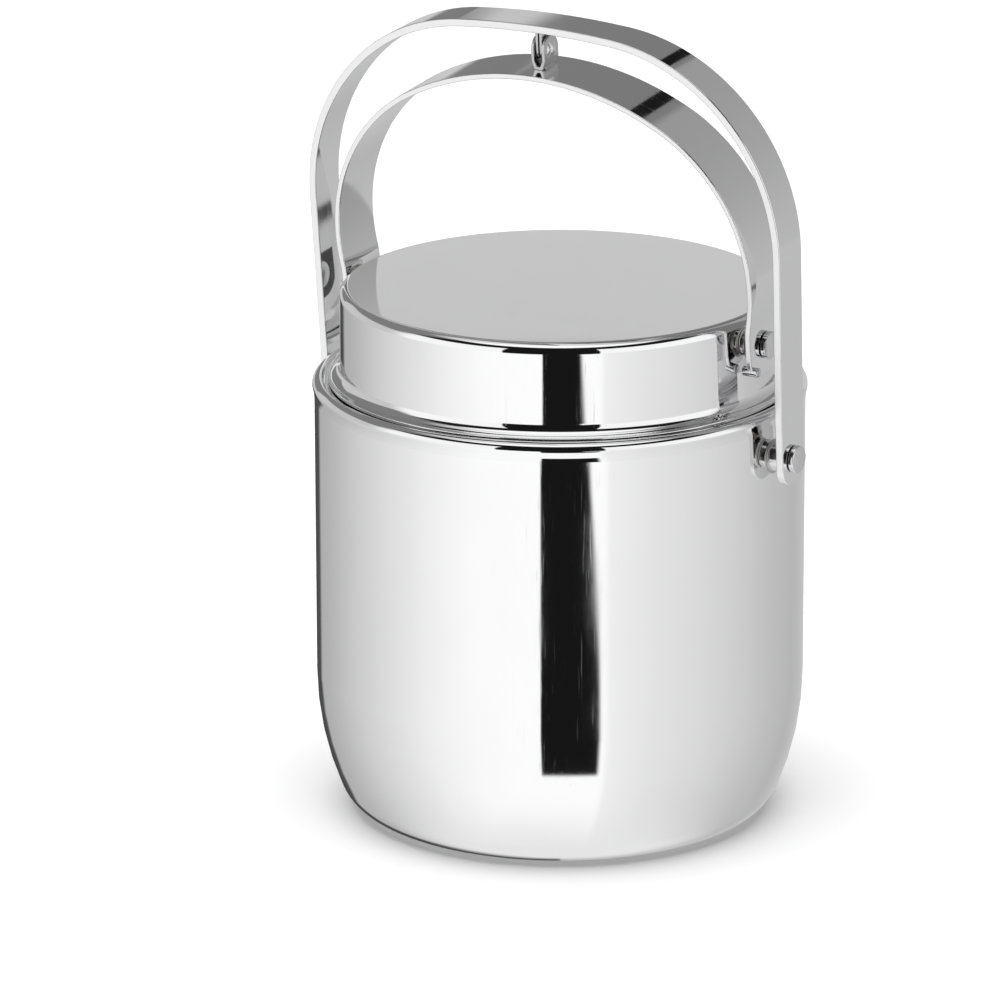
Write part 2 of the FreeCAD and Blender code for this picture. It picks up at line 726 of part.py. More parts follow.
PIECES = build()
DOC.recompute()
check(PIECES)
os.makedirs("parts", exist_ok=True)
for piece in PIECES:
    piece.Shape.exportStep(f"parts/{piece.Label}.step")
    box = piece.Shape.BoundBox
    print(f"{piece.Label:22s} {piece.Shape.Volume:10.1f} mm3  z {box.ZMin:8.2f} to {box.ZMax:8.2f}"
          f"  solids {len(piece.Shape.Solids)}")
PLACES = {
    "handle pivot z": HANDLE_PIVOT,
    "lid pivot z": LID_PIVOT,
    "hinge z": f"({LID_PIVOT} + {HINGE_RISE})",
    "hinge y": f"(0 - {HINGE_FORWARD})",
    "inner lean": INNER_LEAN,
    "outer reach": OUTER_REACH,
    "inner reach": INNER_REACH,
}
for name, expression in PLACES.items():
    print(f"{name:16s} {value(expression):9.4f}")
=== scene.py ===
"""Looks of a polished steel ice bucket with two joined strip bails.

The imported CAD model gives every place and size. The bent strips are its own
pieces. The spun and turned pieces are drawn again here in finer steps, the
pressed ones get softened edges, and weld beads join them to what they stand on.

Metres, +Z up. The bails turn about lines along X and swing towards -Y.
"""
from __future__ import annotations

import logging
import math
from dataclasses import dataclass
from enum import Enum

import bpy
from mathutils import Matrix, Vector

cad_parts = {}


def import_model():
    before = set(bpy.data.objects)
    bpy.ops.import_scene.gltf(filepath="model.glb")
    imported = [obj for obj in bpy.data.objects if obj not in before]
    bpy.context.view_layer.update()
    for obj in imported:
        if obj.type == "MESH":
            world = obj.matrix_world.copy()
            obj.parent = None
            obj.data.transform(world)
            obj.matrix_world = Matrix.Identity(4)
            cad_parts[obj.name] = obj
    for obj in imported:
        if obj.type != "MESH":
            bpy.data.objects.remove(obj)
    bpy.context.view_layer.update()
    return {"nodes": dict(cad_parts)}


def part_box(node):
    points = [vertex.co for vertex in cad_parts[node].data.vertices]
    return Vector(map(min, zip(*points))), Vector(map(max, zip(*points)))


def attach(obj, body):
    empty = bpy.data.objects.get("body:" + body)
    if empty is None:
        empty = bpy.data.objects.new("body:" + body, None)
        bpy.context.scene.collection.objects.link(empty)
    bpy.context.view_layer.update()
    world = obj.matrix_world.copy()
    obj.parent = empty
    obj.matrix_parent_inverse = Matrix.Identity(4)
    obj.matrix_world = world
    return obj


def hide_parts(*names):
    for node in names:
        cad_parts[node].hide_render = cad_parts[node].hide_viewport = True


LOG = logging.getLogger("ice_bucket")
MM = 0.001
WELD_GAP = 0.000002
BODY_STEPS = 256
BEAD_STEPS = 96
STUD_STEPS = 72
PIN_STEPS = 48
RIPPLE_DEPTH = 0.22 * MM
RIPPLE_GRAIN = 0.9 * MM

Colour = tuple[float, float, float]
Wire = bpy.types.NodeSocket | float


class Side(Enum):
    """The bucket's two sides, by the sign of X."""

    RIGHT = 1
    LEFT = -1

    @property
    def word(self) -> str:
        """The side's name as the nodes spell it."""
        return self.name.lower()


# ---------------------------------------------------------------- node trees
class Graph:
    """A node tree that is built from small steps."""

    def __init__(self, tree: bpy.types.NodeTree) -> None:
        """Start with an empty tree.

        Args:
            tree: The material's or world's tree.
        """
        self.tree = tree
        self.tree.nodes.clear()

    def add(self, kind: str, inputs: dict[str | int, object] | None = None,
            **settings: object) -> bpy.types.Node:
        """Add a node.

        Args:
            kind: The node's type without its "ShaderNode" prefix.
            inputs: Sockets by name or number, each a constant or another node's output.
            settings: The node's own properties.

        Returns:
            The new node.
        """
        node = self.tree.nodes.new(f"ShaderNode{kind}")
        for name, setting in settings.items():
            setattr(node, name, setting)
        for socket, value in (inputs or {}).items():
            if isinstance(value, bpy.types.NodeSocket):
                self.tree.links.new(value, node.inputs[socket])
            else:
                node.inputs[socket].default_value = value
        return node

    def maths(self, operation: str, first: Wire, second: Wire = 0.0) -> bpy.types.NodeSocket:
        """Return the result of one sum on two numbers."""
        return self.add("Math", {0: first, 1: second}, operation=operation).outputs[0]

    def rise(self, value: Wire, start: float, end: float) -> bpy.types.NodeSocket:
        """Return 0 before start, 1 after end and a smooth step between them."""
        limits = {"Value": value, "From Min": start, "From Max": end}
        return self.add("MapRange", limits, interpolation_type="SMOOTHSTEP").outputs[0]

    def band(self, value: Wire, start: float, end: float, soft: float) -> bpy.types.NodeSocket:
        """Return a band with soft edges.

        Args:
            value: The number that is tested.
            start: Where the band starts.
            end: Where it ends.
            soft: The width of the soft edges outside it.

        Returns:
            1 inside the band and 0 well outside it.
        """
        rising = self.rise(value, start - soft, start)
        falling = self.rise(value, end, end + soft)
        return self.maths("SUBTRACT", rising, falling)

    def mix(self, share: Wire, first: Wire, second: Wire) -> bpy.types.NodeSocket:
        """Return a number between first and second by this share."""
        node = self.add("Mix", {0: share, 2: first, 3: second}, data_type="FLOAT")
        return node.outputs[0]

    def tint(self, share: Wire, first: Colour, second: Colour) -> bpy.types.NodeSocket:
        """Return a colour between two colours by this share."""
        inputs = {0: share, 6: (*first, 1.0), 7: (*second, 1.0)}
        return self.add("Mix", inputs, data_type="RGBA").outputs[2]

    def ramp(self, place: Wire, stops: list[tuple[float, float]], low: float,
             high: float) -> bpy.types.NodeSocket:
        """Return a grey level along a scale.

        Args:
            place: Where on the scale.
            stops: (place, level) pairs, in order.
            low: The scale's start.
            high: The scale's end.

        Returns:
            The level at that place.
        """
        span = {"Value": place, "From Min": low, "From Max": high}
        share = self.add("MapRange", span).outputs[0]
        node = self.add("ValToRGB", {0: share})
        elements = node.color_ramp.elements
        for index, (stop, level) in enumerate(stops):
            where = (stop - low) / (high - low)
            element = elements[index] if index < 2 else elements.new(where)
            element.position = where
            element.color = (level, level, level, 1.0)
        return node.outputs[0]

    def noise(self, stretch: Colour, scale: float, detail: float = 2.0) -> bpy.types.NodeSocket:
        """Return a noise that is fixed to the object.

        Args:
            stretch: How much of the scale each axis gets.
            scale: Grains to a metre.
            detail: How many finer layers it has.

        Returns:
            The noise, about 0.5 on average.
        """
        place = self.add("TexCoord").outputs["Object"]
        turned = self.add("Mapping", {"Vector": place, "Scale": stretch}).outputs[0]
        return self.add("TexNoise", {"Vector": turned, "Scale": scale, "Detail": detail}).outputs[0]

    def bumps(self, layers: list[tuple[Wire, float]]) -> bpy.types.NodeSocket:
        """Lay several reliefs over each other.

        Args:
            layers: (height, depth in metres) of each relief.

        Returns:
            The normal with all of them on it.
        """
        normal = None
        for height, depth in layers:
            inputs = {"Height": height, "Distance": depth, "Strength": 1.0}
            if normal is not None:
                inputs["Normal"] = normal
            normal = self.add("Bump", inputs).outputs[0]
        return normal


def new_material(name: str) -> tuple[bpy.types.Material, Graph]:
    """Start a material.

    Args:
        name: The material's name.

    Returns:
        The material and its empty graph.
    """
    material = bpy.data.materials.new(name)
    material.use_nodes = True
    return material, Graph(material.node_tree)


def metal(graph: Graph, colour: Wire | Colour, roughness: Wire, normal: Wire) -> None:
    """Close a graph with a metal surface.

    Args:
        graph: The material's graph.
        colour: The metal's colour.
        roughness: 0 for a mirror, 1 for a dull surface.
        normal: The surface's relief.
    """
    base = colour if isinstance(colour, bpy.types.NodeSocket) else (*colour, 1.0)
    surface = graph.add("BsdfPrincipled", {
        "Base Color": base, "Metallic": 1.0, "Roughness": roughness, "Normal": normal,
    })
    graph.add("OutputMaterial", {"Surface": surface.outputs[0]})


# ---------------------------------------------------------------- finishes
@dataclass(frozen=True)
class MirrorSteel:
    """Deep-drawn sheet, mirror polished with a buff that ran up and down."""

    name: str = "mirror_polished_steel"
    bright: Colour = (0.925, 0.925, 0.93)
    dull: Colour = (0.885, 0.885, 0.89)
    gloss: float = 0.035
    haze: float = 0.085
    hairline: float = 0.16
    grains: float = 2600.0
    run: float = 0.03
    ripple: float = 0.000012
    ripples: float = 26.0

    def make(self) -> bpy.types.Material:
        """Build the finish.

        Returns:
            The material.
        """
        material, graph = new_material(self.name)
        hairs = graph.noise((1.0, 1.0, self.run), self.grains, 3.0)
        smudge = graph.noise((1.0, 1.0, 0.6), 38.0, 4.0)
        pits = graph.noise((1.0, 1.0, 1.0), 900.0, 1.0)
        waves = graph.noise((1.0, 1.0, 0.5), self.ripples, 1.0)
        hazed = graph.mix(graph.rise(smudge, 0.42, 0.72), self.gloss, self.haze)
        scratched = graph.mix(graph.rise(hairs, 0.60, 0.74), hazed, self.hairline)
        normal = graph.bumps([(waves, self.ripple), (hairs, 0.00000012), (pits, 0.0000002)])
        metal(graph, graph.tint(smudge, self.bright, self.dull), scratched, normal)
        return material


@dataclass(frozen=True)
class StripSteel:
    """Rolled strip with buffed faces and ground edges."""

    name: str = "strip_steel"
    face: Colour = (0.88, 0.88, 0.885)
    edge: Colour = (0.95, 0.95, 0.95)
    face_gloss: float = 0.04
    grain_gloss: float = 0.12
    edge_gloss: float = 0.34
    grains: float = 2400.0
    run: float = 0.035

    def make(self) -> bpy.types.Material:
        """Build the finish.

        Returns:
            The material.
        """
        material, graph = new_material(self.name)
        normal = graph.add("TexCoord").outputs["Normal"]
        across = graph.maths("ABSOLUTE", graph.add("SeparateXYZ", {0: normal}).outputs[1])
        on_edge = graph.rise(across, 0.55, 0.85)
        grain = graph.noise((self.run, 1.0, self.run), self.grains, 4.0)
        mottle = graph.noise((1.0, 1.0, 1.0), 1500.0, 3.0)
        wear = graph.noise((1.0, 1.0, 1.0), 60.0, 4.0)
        buffed = graph.mix(graph.rise(grain, 0.50, 0.75), self.face_gloss, self.grain_gloss)
        worn = graph.mix(graph.rise(wear, 0.45, 0.75), buffed, self.grain_gloss)
        roughness = graph.mix(on_edge, worn, self.edge_gloss)
        relief = graph.bumps([(grain, 0.0000006), (mottle, 0.0000011)])
        metal(graph, graph.tint(on_edge, self.face, self.edge), roughness, relief)
        return material


@dataclass(frozen=True)
class SpunSteel:
    """Satin steel with the fine rings that spinning leaves about the bucket's axis."""

    name: str = "spun_steel"
    colour: Colour = (0.90, 0.90, 0.905)
    shade: Colour = (0.76, 0.76, 0.77)
    gloss: float = 0.16
    groove: float = 0.30
    polish: float = 0.04
    rings: float = 5200.0
    rim_radius: float = 0.0655
    rim_blend: float = 0.0003

    def make(self) -> bpy.types.Material:
        """Build the finish: satin inside the rim's radius and polished outside it.

        Returns:
            The material.
        """
        material, graph = new_material(self.name)
        place = graph.add("SeparateXYZ", {0: graph.add("TexCoord").outputs["Object"]}).outputs
        radius = graph.maths("SQRT", graph.maths(
            "ADD", graph.maths("POWER", place[0], 2.0), graph.maths("POWER", place[1], 2.0)))
        along = graph.maths("ADD", radius, place[2])
        line = graph.add("TexNoise", {"W": along, "Scale": self.rings, "Detail": 2.0},
                         noise_dimensions="1D").outputs[0]
        patch = graph.noise((1.0, 1.0, 1.0), 70.0, 4.0)
        on_rim = graph.rise(radius, self.rim_radius - self.rim_blend, self.rim_radius)
        satin = graph.mix(graph.rise(line, 0.35, 0.7), self.gloss, self.groove)
        buffed = graph.mix(graph.rise(patch, 0.45, 0.75), self.polish, 2.0 * self.polish)
        faint = graph.maths("MULTIPLY", line, graph.mix(on_rim, 1.0, 0.12))
        relief = graph.bumps([(faint, 0.0000012)])
        shaded = graph.maths("MULTIPLY", patch, graph.mix(on_rim, 1.0, 0.15))
        colour = graph.tint(shaded, self.colour, self.shade)
        metal(graph, colour, graph.mix(on_rim, satin, buffed), relief)
        return material


@dataclass(frozen=True)
class TurnedSteel:
    """Turned and tumbled steel, with tool rings about a line along X."""

    name: str
    y: float
    z: float
    colour: Colour = (0.86, 0.86, 0.865)
    shade: Colour = (0.66, 0.66, 0.67)
    gloss: float = 0.10
    groove: float = 0.24
    rings: float = 7000.0

    def make(self) -> bpy.types.Material:
        """Build the finish.

        Returns:
            The material.
        """
        material, graph = new_material(self.name)
        place = graph.add("TexCoord").outputs["Object"]
        centred = graph.add("Mapping", {"Vector": place, "Location": (0.0, -self.y, -self.z)})
        parts = graph.add("SeparateXYZ", {0: centred.outputs[0]}).outputs
        radius = graph.maths("SQRT", graph.maths(
            "ADD", graph.maths("POWER", parts[1], 2.0), graph.maths("POWER", parts[2], 2.0)))
        along = graph.maths("ADD", radius, graph.maths("ABSOLUTE", parts[0]))
        line = graph.add("TexNoise", {"W": along, "Scale": self.rings, "Detail": 1.0},
                         noise_dimensions="1D").outputs[0]
        dents = graph.noise((1.0, 1.0, 1.0), 1400.0, 3.0)
        roughness = graph.mix(graph.rise(line, 0.35, 0.7), self.gloss, self.groove)
        relief = graph.bumps([(line, 0.000001), (dents, 0.000002)])
        metal(graph, graph.tint(dents, self.colour, self.shade), roughness, relief)
        return material


@dataclass(frozen=True)
class WeldBead:
    """Fused steel with a straw and blue heat tint that brushing has left faint."""

    name: str = "weld_bead"
    colour: Colour = (0.62, 0.60, 0.57)
    tinted: Colour = (0.50, 0.47, 0.45)

    def make(self) -> bpy.types.Material:
        """Build the finish.

        Returns:
            The material.
        """
        material, graph = new_material(self.name)
        scale = graph.noise((1.0, 1.0, 1.0), 1600.0, 4.0)
        stain = graph.noise((1.0, 1.0, 1.0), 300.0, 2.0)
        roughness = graph.mix(scale, 0.22, 0.42)
        relief = graph.bumps([(scale, 0.00003)])
        metal(graph, graph.tint(stain, self.colour, self.tinted), roughness, relief)
        return material


@dataclass(frozen=True)
class Nylon:
    """Natural nylon, slightly waxy and clouded."""

    name: str = "natural_nylon"
    colour: Colour = (0.80, 0.78, 0.72)
    cloud: Colour = (0.71, 0.68, 0.61)

    def make(self) -> bpy.types.Material:
        """Build the finish.

        Returns:
            The material.
        """
        material, graph = new_material(self.name)
        clouds = graph.noise((1.0, 1.0, 1.0), 500.0, 3.0)
        pits = graph.noise((1.0, 1.0, 1.0), 5000.0, 2.0)
        surface = graph.add("BsdfPrincipled", {
            "Base Color": graph.tint(clouds, self.colour, self.cloud),
            "Roughness": graph.mix(clouds, 0.38, 0.52),
            "Normal": graph.bumps([(pits, 0.000008)]),
            "Subsurface Weight": 0.15,
            "Subsurface Scale": 0.001,
        })
        graph.add("OutputMaterial", {"Surface": surface.outputs[0]})
        return material


def dress(item: bpy.types.Object, material: bpy.types.Material) -> None:
    """Give an object one material."""
    item.data.materials.clear()
    item.data.materials.append(material)


# ---------------------------------------------------------------- studio
@dataclass(frozen=True)
class Lens:
    """The camera: where it stands, what it looks at, and its framing."""

    azimuth: float = 30.55
    elevation: float = 17.15
    distance: float = 2.2
    aim: Colour = (0.0, 0.0, 0.09)
    focal: float = 266.9
    sensor: float = 36.0
    shift: tuple[float, float] = (-0.0600, 0.0102)
    near: float = 0.05
    far: float = 50.0

    def place(self) -> bpy.types.Object:
        """Make the camera and turn it to the bucket.

        Returns:
            The camera.
        """
        turn, lift = math.radians(self.azimuth), math.radians(self.elevation)
        level = math.cos(lift)
        back = Vector((math.sin(turn) * level, -math.cos(turn) * level, math.sin(lift)))
        data = bpy.data.cameras.new("camera")
        data.lens = self.focal
        data.sensor_width = self.sensor
        data.shift_x, data.shift_y = self.shift
        data.clip_start, data.clip_end = self.near, self.far
        camera = bpy.data.objects.new("camera", data)
        camera.location = Vector(self.aim) + back * self.distance
        camera.rotation_euler = (-back).to_track_quat("-Z", "Y").to_euler()
        bpy.context.collection.objects.link(camera)
        bpy.context.scene.camera = camera
        return camera


@dataclass(frozen=True)
class Surroundings:
    """What the polished steel reflects: a pale room with dark flags.

    Bearings are degrees from the studio's front, positive to the right, and
    heights are degrees above the horizon. Levels are linear.
    """

    front: float = 30.55
    strength: float = 1.08
    horizon: tuple[float, float] = (-12.5, -10.5)
    flag_sides: tuple[float, float] = (-29.0, 20.0)
    flag_heights: tuple[float, float] = (-12.5, 36.0)
    flag_level: float = 0.008
    wall_bearing: tuple[float, float] = (82.0, 100.0)

    def make(self) -> bpy.types.World:
        """Build the room.

        Returns:
            The world.
        """
        world = bpy.data.worlds.new("studio_surroundings")
        world.use_nodes = True
        graph = Graph(world.node_tree)
        direction = graph.add("TexCoord").outputs["Generated"]
        turned = graph.add("VectorRotate", {
            "Vector": direction, "Angle": -math.radians(self.front),
        }, rotation_type="Z_AXIS").outputs[0]
        x, y, z = graph.add("SeparateXYZ", {0: turned}).outputs
        ahead = graph.maths("MULTIPLY", y, -1.0)
        bearing = graph.maths("DEGREES", graph.maths("ARCTAN2", x, ahead))
        height = graph.maths("DEGREES", graph.maths("ARCSINE", z))
        level = graph.mix(graph.rise(height, *self.horizon), self.table(graph, bearing, height),
                          self.sky(graph, bearing, height))
        flag = graph.maths("MULTIPLY", graph.band(bearing, *self.flag_sides, 1.0),
                           graph.band(height, *self.flag_heights, 1.0))
        shown = graph.mix(flag, level, self.flag_level)
        background = graph.add("Background", {"Color": shown, "Strength": self.strength})
        graph.add("OutputWorld", {"Surface": background.outputs[0]})
        bpy.context.scene.world = world
        return world

    def table(self, graph: Graph, bearing: Wire, height: Wire) -> bpy.types.NodeSocket:
        """Shade what lies below the horizon: pale, greyer behind, with a dark strip in front.

        Args:
            graph: The world's graph.
            bearing: Degrees from the studio's front.
            height: Degrees above the horizon.

        Returns:
            The level there.
        """
        pale = graph.ramp(bearing, [
            (-180.0, 0.06), (-158.0, 0.07), (-153.5, 0.42), (-143.0, 0.44), (-129.0, 0.50),
            (-108.0, 0.62), (-92.0, 0.71), (-77.0, 0.79), (-64.0, 0.87), (-52.0, 0.93),
            (-41.0, 0.98), (-19.0, 1.0), (20.5, 1.0), (24.0, 0.87), (45.0, 0.78), (71.0, 0.70),
            (100.0, 0.59), (118.0, 0.52), (143.0, 0.46), (170.0, 0.53), (180.0, 0.50),
        ], -180.0, 180.0)
        lean = graph.maths("MULTIPLY", graph.maths("ADD", height, 16.2), -3.3)
        edge = graph.maths("MAXIMUM", graph.maths("ADD", lean, 10.5), 9.4)
        edge = graph.maths("MINIMUM", edge, 17.5)
        right = graph.rise(bearing, edge, graph.maths("ADD", edge, 2.5))
        across = graph.maths("SUBTRACT", graph.rise(bearing, -9.4, -8.6), right)
        strip = graph.maths("MULTIPLY", across, graph.rise(height, -33.5, -31.5))
        near = graph.mix(graph.rise(height, -40.0, -70.0), pale, 0.80)
        return graph.mix(strip, near, self.flag_level)

    def sky(self, graph: Graph, bearing: Wire, height: Wire) -> bpy.types.NodeSocket:
        """Shade what lies above the horizon: a grey wall behind, soft boxes over the front.

        Args:
            graph: The world's graph.
            bearing: Degrees from the studio's front.
            height: Degrees above the horizon.

        Returns:
            The level there.
        """
        front = graph.ramp(height, [
            (-15.0, 0.95), (33.0, 0.95), (36.0, 0.01), (58.0, 0.01), (62.0, 1.0), (90.0, 1.0),
        ], -15.0, 90.0)
        back = graph.ramp(height, [
            (-15.0, 0.52), (0.0, 0.57), (20.0, 0.55), (21.8, 0.20), (54.0, 0.20), (62.0, 0.65),
            (90.0, 0.75),
        ], -15.0, 90.0)
        right = graph.ramp(height, [
            (-15.0, 0.50), (0.0, 0.46), (20.0, 0.38), (45.0, 0.31), (60.0, 0.34), (90.0, 0.70),
        ], -15.0, 90.0)
        beside = graph.mix(graph.band(bearing, 60.0, 151.5, 1.5), back, right)
        corner = graph.maths("MULTIPLY", graph.band(bearing, -175.5, -150.0, 1.5),
                             graph.rise(height, 0.0, 4.0))
        notch = graph.maths("MULTIPLY", graph.band(bearing, 155.0, 159.2, 0.5),
                            graph.band(height, 34.0, 48.0, 1.0))
        wall = graph.mix(notch, graph.mix(corner, beside, 0.20), 0.01)
        aside = graph.maths("ABSOLUTE", bearing)
        return graph.mix(graph.rise(aside, *self.wall_bearing), front, wall)


@dataclass(frozen=True)
class Floor:
    """A pale floor that the steel doesn't mirror, because its surroundings hold one."""

    half_width: float = 6.0
    sunk: float = 0.00005
    colour: Colour = (0.94, 0.94, 0.94)
    cloud: float = 0.99

    def make(self) -> bpy.types.Object:
        """Lay the floor.

        Returns:
            The floor.
        """
        material, graph = new_material("pale_floor")
        clouds = graph.noise((1.0, 1.0, 1.0), 2.0, 2.0)
        darker = tuple(level * self.cloud for level in self.colour)
        surface = graph.add("BsdfDiffuse", {"Color": graph.tint(clouds, self.colour, darker)})
        graph.add("OutputMaterial", {"Surface": surface.outputs[0]})
        bpy.ops.mesh.primitive_plane_add(size=2 * self.half_width, location=(0.0, 0.0, -self.sunk))
        floor = bpy.context.object
        floor.name = "floor"
        floor.visible_glossy = False
        dress(floor, material)
        return floor


@dataclass(frozen=True)
class SoftBox:
    """A large area light that the steel doesn't mirror."""

    name: str
    place: Colour
    size: float
    power: float

    def hang(self) -> bpy.types.Object:
        """Hang the light so that it faces the bucket.

        Returns:
            The light.
        """
        data = bpy.data.lights.new(self.name, "AREA")
        data.shape = "DISK"
        data.size = self.size
        data.energy = self.power
        lamp = bpy.data.objects.new(self.name, data)
        lamp.location = self.place
        lamp.rotation_euler = (-Vector(self.place)).to_track_quat("-Z", "Y").to_euler()
        lamp.visible_glossy = False
        bpy.context.collection.objects.link(lamp)
        return lamp


# ---------------------------------------------------------------- making pieces
class Axis(Enum):
    """The line that a piece is spun about."""

    UPRIGHT = "upright"
    CROSSWISE = "crosswise"

    def directions(self) -> tuple[Vector, Vector]:
        """Return the direction along the axis and one straight out from it."""
        if self is Axis.UPRIGHT:
            return Vector((0.0, 0.0, 1.0)), Vector((1.0, 0.0, 0.0))
        return Vector((1.0, 0.0, 0.0)), Vector((0.0, 0.0, 1.0))


class Profile:
    """A line that is spun into a piece, as (along, radius) points in millimetres."""

    LONG_RUN = 3.0
    GUARD = 0.35
    SAME_PLACE = 1e-4
    ARC_STEP = 6.0
    DOME_STEPS = 12
    CREASE = 32.0

    def __init__(self, along: float, radius: float) -> None:
        """Start the line at one point."""
        self.points = [(along, radius)]

    def to(self, along: float, radius: float) -> Profile:
        """Go straight to a point, with guard points close to both ends of a long run.

        Args:
            along: The point's place along the axis.
            radius: Its distance from the axis.

        Returns:
            The profile itself.
        """
        start = self.points[-1]
        length = math.dist(start, (along, radius))
        if length > self.LONG_RUN:
            guard = self.GUARD / length
            for share in (guard, 0.5, 1.0 - guard):
                self.points.append((start[0] + (along - start[0]) * share,
                                    start[1] + (radius - start[1]) * share))
        self.points.append((along, radius))
        return self

    def arc(self, along: float, radius: float, size: float, start: float, end: float) -> Profile:
        """Go round an arc.

        Args:
            along: The centre's place along the axis.
            radius: The centre's distance from the axis.
            size: The arc's own radius.
            start: Where it starts: 0 is straight out, 90 is the axis's positive end.
            end: Where it ends.

        Returns:
            The profile itself.
        """
        steps = max(3, round(abs(end - start) / self.ARC_STEP))
        for step in range(steps + 1):
            turn = math.radians(start + (end - start) * step / steps)
            point = (along + size * math.sin(turn), radius + size * math.cos(turn))
            if math.dist(point, self.points[-1]) > self.SAME_PLACE:
                self.points.append(point)
        return self

    def dome(self, top: float, rise: float, reach: float, start: float, end: float) -> Profile:
        """Follow a shallow dome between two radii.

        Args:
            top: The dome's highest place along the axis.
            rise: How far it falls by the radius reach.
            reach: The radius at which it has fallen by its rise.
            start: The radius where the line starts.
            end: The radius where it ends.

        Returns:
            The profile itself.
        """
        for step in range(self.DOME_STEPS + 1):
            radius = start + (end - start) * step / self.DOME_STEPS
            point = (top - rise * (radius / reach) ** 2, radius)
            if math.dist(point, self.points[-1]) > self.SAME_PLACE:
                self.points.append(point)
        return self

    def spin(self, name: str, axis: Axis, centre: Vector, steps: int,
             sign: int = 1) -> bpy.types.Object:
        """Spin the line about an axis.

        Args:
            name: The piece's name.
            axis: The axis that it turns about.
            centre: A point on that axis, in metres.
            steps: How many steps the full turn has.
            sign: -1 to run the line towards the axis's negative end.

        Returns:
            The finished piece, with its normals outward.
        """
        line, out = axis.directions()
        places = [centre + (line * along * sign + out * radius) * MM
                  for along, radius in self.points]
        bpy.ops.object.select_all(action="DESELECT")
        bpy.ops.mesh.primitive_plane_add(size=MM, location=places[0])
        piece = bpy.context.object
        piece.name = piece.data.name = name
        bpy.ops.object.transform_apply(location=True)
        bpy.ops.object.mode_set(mode="EDIT")
        bpy.ops.mesh.select_all(action="SELECT")
        bpy.ops.mesh.merge(type="CENTER")
        for before, after in zip(places, places[1:]):
            bpy.ops.mesh.extrude_region_move(TRANSFORM_OT_translate={"value": after - before})
        bpy.ops.mesh.select_all(action="SELECT")
        bpy.ops.mesh.spin(steps=steps, angle=math.tau, center=centre, axis=line)
        bpy.ops.mesh.select_all(action="SELECT")
        bpy.ops.mesh.remove_doubles(threshold=WELD_GAP)
        bpy.ops.mesh.normals_make_consistent(inside=False)
        bpy.ops.object.mode_set(mode="OBJECT")
        return smoothed(piece, self.CREASE)


def smoothed(piece: bpy.types.Object, angle: float) -> bpy.types.Object:
    """Smooth a piece's shading over its flatter edges.

    Args:
        piece: The piece.
        angle: The sharpest edge that is smoothed, in degrees.

    Returns:
        The piece.
    """
    bpy.ops.object.select_all(action="DESELECT")
    piece.select_set(True)
    bpy.context.view_layer.objects.active = piece
    bpy.ops.object.shade_smooth_by_angle(angle=math.radians(angle))
    return piece


def applied(piece: bpy.types.Object, kind: str, **settings: object) -> None:
    """Add a modifier to a piece and apply it.

    Args:
        piece: The piece.
        kind: The modifier's type.
        settings: Its settings.
    """
    bpy.ops.object.select_all(action="DESELECT")
    piece.select_set(True)
    bpy.context.view_layer.objects.active = piece
    modifier = piece.modifiers.new(kind.lower(), kind)
    for name, setting in settings.items():
        setattr(modifier, name, setting)
    bpy.ops.object.modifier_apply(modifier=modifier.name)


def rippled(piece: bpy.types.Object) -> None:
    """Give a weld bead its uneven surface.

    Args:
        piece: The bead.
    """
    cloud = bpy.data.textures.new(f"{piece.name}_ripples", "CLOUDS")
    cloud.noise_scale = RIPPLE_GRAIN
    applied(piece, "DISPLACE", texture=cloud, strength=RIPPLE_DEPTH, mid_level=0.5,
            texture_coords="LOCAL")


def softened(node: bpy.types.Object, name: str, bevel: float) -> bpy.types.Object:
    """Copy a pressed piece, merge its facets and round its edges.

    Args:
        node: The CAD node.
        name: The copy's name.
        bevel: The rounding's width in metres.

    Returns:
        The copy.
    """
    piece = bpy.data.objects.new(name, node.data.copy())
    bpy.context.collection.objects.link(piece)
    bpy.ops.object.select_all(action="DESELECT")
    piece.select_set(True)
    bpy.context.view_layer.objects.active = piece
    bpy.ops.mesh.customdata_custom_splitnormals_clear()
    bpy.ops.object.mode_set(mode="EDIT")
    bpy.ops.mesh.select_all(action="SELECT")
    bpy.ops.mesh.remove_doubles(threshold=WELD_GAP)
    bpy.ops.mesh.normals_make_consistent(inside=False)
    bpy.ops.mesh.dissolve_limited(angle_limit=math.radians(0.5))
    bpy.ops.object.mode_set(mode="OBJECT")
    applied(piece, "BEVEL", width=bevel, segments=3, limit_method="ANGLE",
            angle_limit=math.radians(40.0), harden_normals=False)
    applied(piece, "TRIANGULATE")
    return smoothed(piece, 35.0)


def fitted(piece: bpy.types.Object, material: bpy.types.Material, body: str, slot: str,
           *nodes: str) -> bpy.types.Object:
    """Dress a piece, tie it to its body and let it stand for its CAD nodes.

    Args:
        piece: The finished piece.
        material: Its finish.
        body: The body that it moves with.
        slot: Not used.
        nodes: The CAD nodes that it stands for.

    Returns:
        The piece.
    """
    dress(piece, material)
    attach(piece, body)
    if nodes:
        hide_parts(*nodes)
    LOG.info("%s: %d faces, on %s", piece.name, len(piece.data.polygons), body)
    return piece


